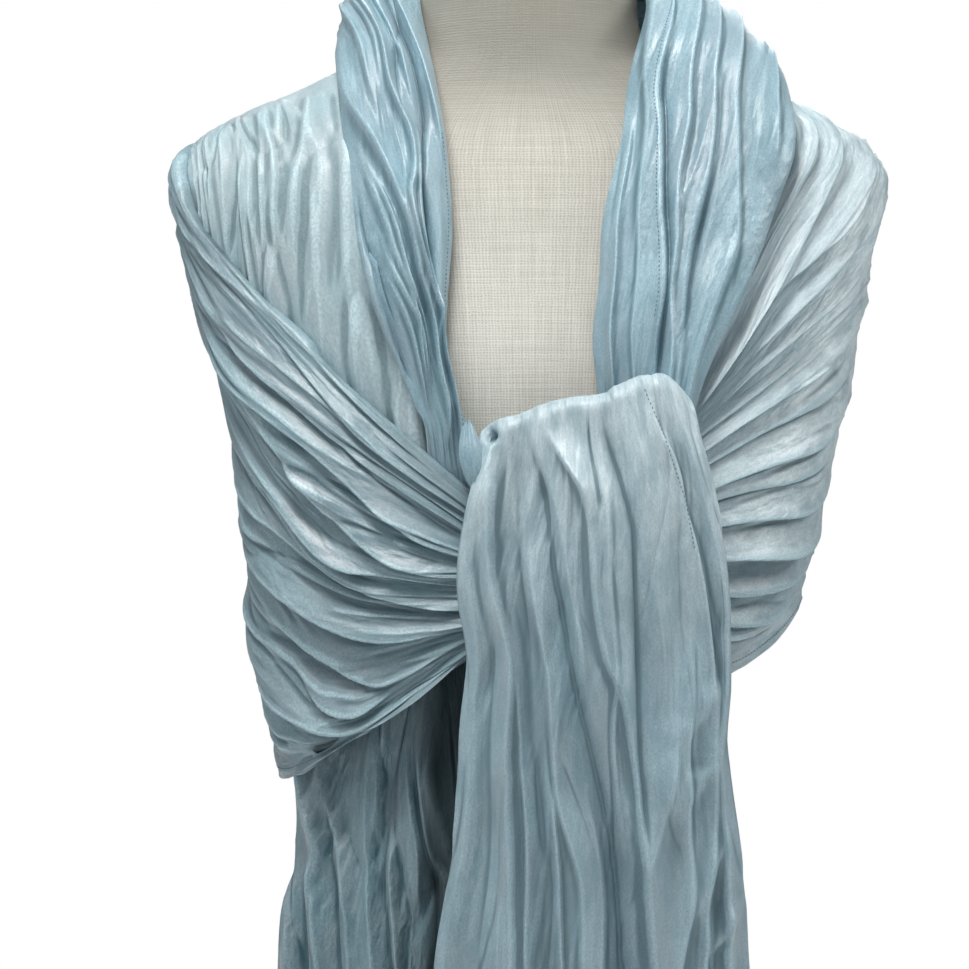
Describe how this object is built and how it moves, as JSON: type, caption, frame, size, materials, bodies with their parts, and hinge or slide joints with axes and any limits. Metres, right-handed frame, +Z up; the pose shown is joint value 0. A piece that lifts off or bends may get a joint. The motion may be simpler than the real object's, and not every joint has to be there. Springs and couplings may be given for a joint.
{
  "type": "shawl on a dress form",
  "caption": "Crinkle-pleated satin shawl worn round the neck and both shoulders of a limbless dress form, tied in front with a half knot, its ends hanging free.",
  "frame": {"origin": "centre of the round base's underside, on the form's upright axis", "axes": "+Z up along the pole, -Y towards the viewer in front of the knot, +X to that viewer's right"},
  "size_m": [0.438, 0.34, 1.05],
  "materials": {
    "satin": "crinkle-pleated satin with a soft sheen",
    "linen": "plain linen weave, matt",
    "cap_wood": "oiled, half matt",
    "stand_steel": "brushed"
  },
  "bodies": {
    "root": {"collar_left": "satin", "collar_back": "satin", "collar_right": "satin", "shoulder_left": "satin", "wing_left": "satin", "wing_right": "satin", "back_wrap": "satin", "knot": "satin", "front_fall": "satin", "tail_left": "satin", "torso": "linen", "neck_cap": "cap_wood", "pole": "stand_steel", "base": "stand_steel"}
  },
  "joints": []
}
